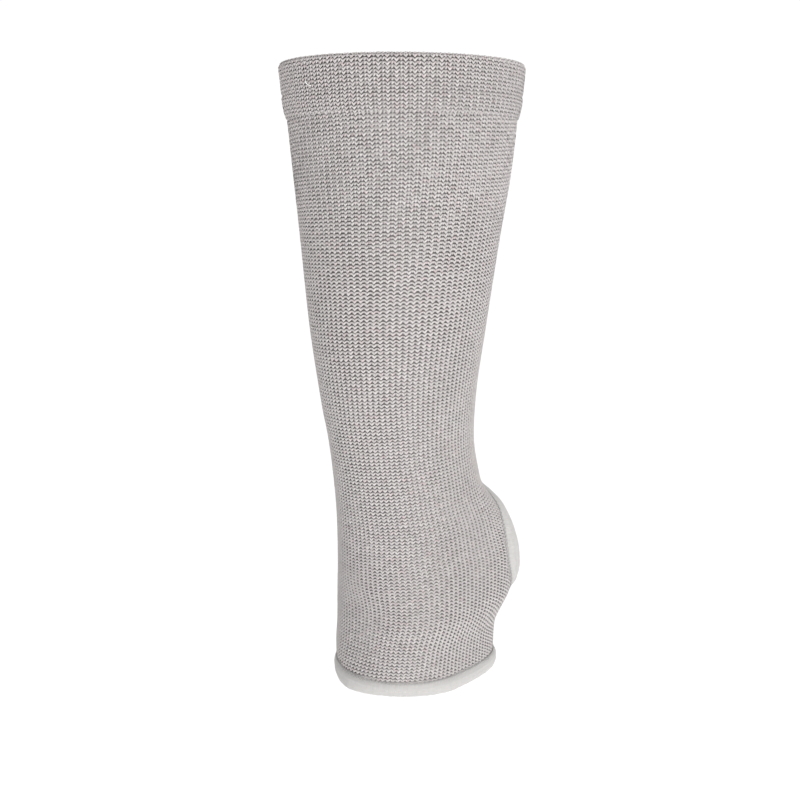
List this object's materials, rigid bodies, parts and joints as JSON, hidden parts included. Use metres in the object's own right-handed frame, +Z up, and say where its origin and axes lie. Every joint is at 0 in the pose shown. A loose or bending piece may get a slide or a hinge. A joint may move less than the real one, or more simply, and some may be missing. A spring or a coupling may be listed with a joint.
{
  "type": "knitted ankle support sleeve",
  "caption": "Tubular knitted ankle and lower-calf compression sleeve with a folded top cuff, open heel and open foot end, edges bound with elastic tape.",
  "frame": {"origin": "centre of the narrowest ankle section, on the leg's axis, where the sleeve sits on the wearer's leg", "axes": "+Z up the leg towards the cuff, -Y to the front of the shin, +Y to the heel opening, +X to one side"},
  "size_m": [0.1038, 0.1143, 0.2855],
  "materials": {
    "knit_fabric": "light grey heather rib knit, matt",
    "binding_tape": "white fine-ribbed elastic tape, matt"
  },
  "bodies": {
    "root": {"knit_sleeve": "knit_fabric", "folded_cuff": "knit_fabric", "heel_binding": "binding_tape", "foot_binding": "binding_tape"}
  },
  "joints": []
}
